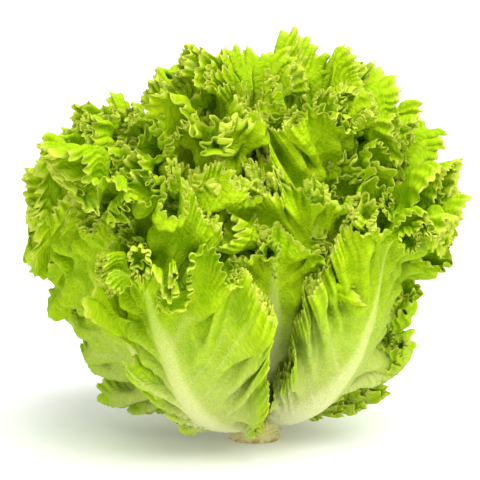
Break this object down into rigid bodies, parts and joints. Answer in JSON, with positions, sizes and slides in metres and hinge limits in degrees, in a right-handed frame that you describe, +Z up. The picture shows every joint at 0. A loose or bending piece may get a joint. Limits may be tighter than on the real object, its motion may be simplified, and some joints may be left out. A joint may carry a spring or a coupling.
{
  "type": "curly green leaf lettuce head",
  "caption": "Whole head of curly green leaf lettuce with frilled, ruffled leaves nested round a short stem, standing on its flat cut stump; fresh salad vegetable.",
  "frame": {"origin": "centre of the flat cut face of the stump, on the surface the head stands on", "axes": "+Z up from the cut face along the stem; -Y to the front, where the two largest outer leaves part; +X to the right of that view"},
  "size_m": [0.271, 0.2953, 0.2531],
  "materials": {
    "stem": "satin",
    "outer_leaf_01": "satin",
    "outer_leaf_02": "satin",
    "outer_leaf_03": "satin",
    "outer_leaf_04": "satin",
    "outer_leaf_05": "satin",
    "outer_leaf_06": "satin",
    "outer_leaf_07": "satin",
    "outer_leaf_08": "satin",
    "outer_leaf_09": "satin",
    "middle_leaf_01": "satin",
    "middle_leaf_02": "satin",
    "middle_leaf_03": "satin",
    "middle_leaf_04": "satin",
    "middle_leaf_05": "satin",
    "middle_leaf_06": "satin",
    "middle_leaf_07": "satin",
    "middle_leaf_08": "satin",
    "middle_leaf_09": "satin",
    "heart_leaf_01": "satin",
    "heart_leaf_02": "satin",
    "heart_leaf_03": "satin",
    "heart_leaf_04": "satin",
    "heart_leaf_05": "satin",
    "heart_leaf_06": "satin",
    "heart_leaf_07": "satin",
    "heart_leaf_08": "satin",
    "heart_leaf_09": "satin",
    "heart_leaf_10": "satin"
  },
  "bodies": {
    "root": {"stem": "stem", "outer_leaf_01": "outer_leaf_01", "outer_leaf_02": "outer_leaf_02", "outer_leaf_03": "outer_leaf_03", "outer_leaf_04": "outer_leaf_04", "outer_leaf_05": "outer_leaf_05", "outer_leaf_06": "outer_leaf_06", "outer_leaf_07": "outer_leaf_07", "outer_leaf_08": "outer_leaf_08", "outer_leaf_09": "outer_leaf_09", "middle_leaf_01": "middle_leaf_01", "middle_leaf_02": "middle_leaf_02", "middle_leaf_03": "middle_leaf_03", "middle_leaf_04": "middle_leaf_04", "middle_leaf_05": "middle_leaf_05", "middle_leaf_06": "middle_leaf_06", "middle_leaf_07": "middle_leaf_07", "middle_leaf_08": "middle_leaf_08", "middle_leaf_09": "middle_leaf_09", "heart_leaf_01": "heart_leaf_01", "heart_leaf_02": "heart_leaf_02", "heart_leaf_03": "heart_leaf_03", "heart_leaf_04": "heart_leaf_04", "heart_leaf_05": "heart_leaf_05", "heart_leaf_06": "heart_leaf_06", "heart_leaf_07": "heart_leaf_07", "heart_leaf_08": "heart_leaf_08", "heart_leaf_09": "heart_leaf_09", "heart_leaf_10": "heart_leaf_10"}
  },
  "joints": []
}
